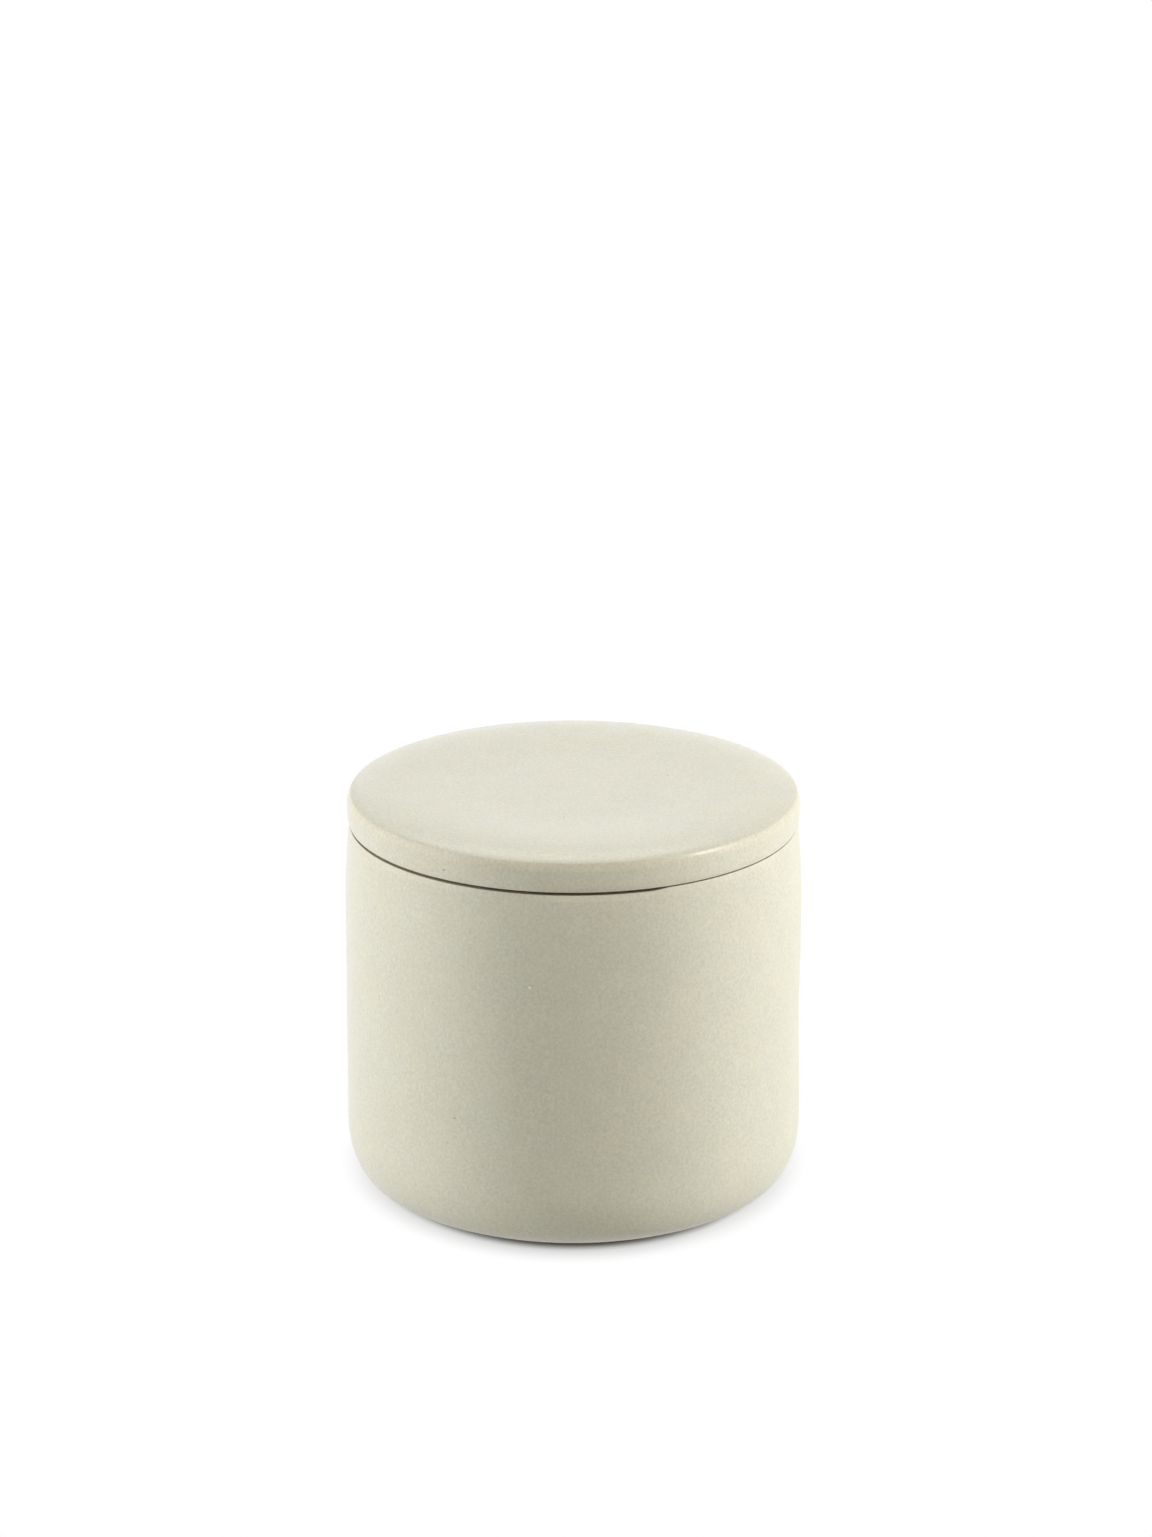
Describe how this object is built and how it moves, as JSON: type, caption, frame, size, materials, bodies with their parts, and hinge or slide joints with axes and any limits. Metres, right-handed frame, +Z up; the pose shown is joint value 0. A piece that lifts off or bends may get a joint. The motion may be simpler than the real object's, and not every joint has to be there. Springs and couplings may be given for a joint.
{
  "type": "lidded jar",
  "caption": "Small round stoneware jar with straight walls, a rounded heel on a low foot ring, and a dished slab lid that lifts off.",
  "frame": {"origin": "centre of the foot ring, on the surface the jar stands on", "axes": "+Z up along the axis that the pot and the lid are turned about, +X to the right of the picture's view, -Y towards the viewer"},
  "size_m": [0.09, 0.09, 0.0861],
  "materials": {
    "glazed_stoneware": "semi-matte pale grey-green glaze with fine grain and scattered pinholes, bare clay on the foot ring and the lid's seat"
  },
  "bodies": {
    "pot": {"pot": "glazed_stoneware"},
    "lid": {"lid": "glazed_stoneware"}
  },
  "joints": [
    {"name": "lid_lift", "type": "slide", "parent": "pot", "child": "lid", "axis": [0, 0, 1], "range_m": [0, 0.06]}
  ]
}
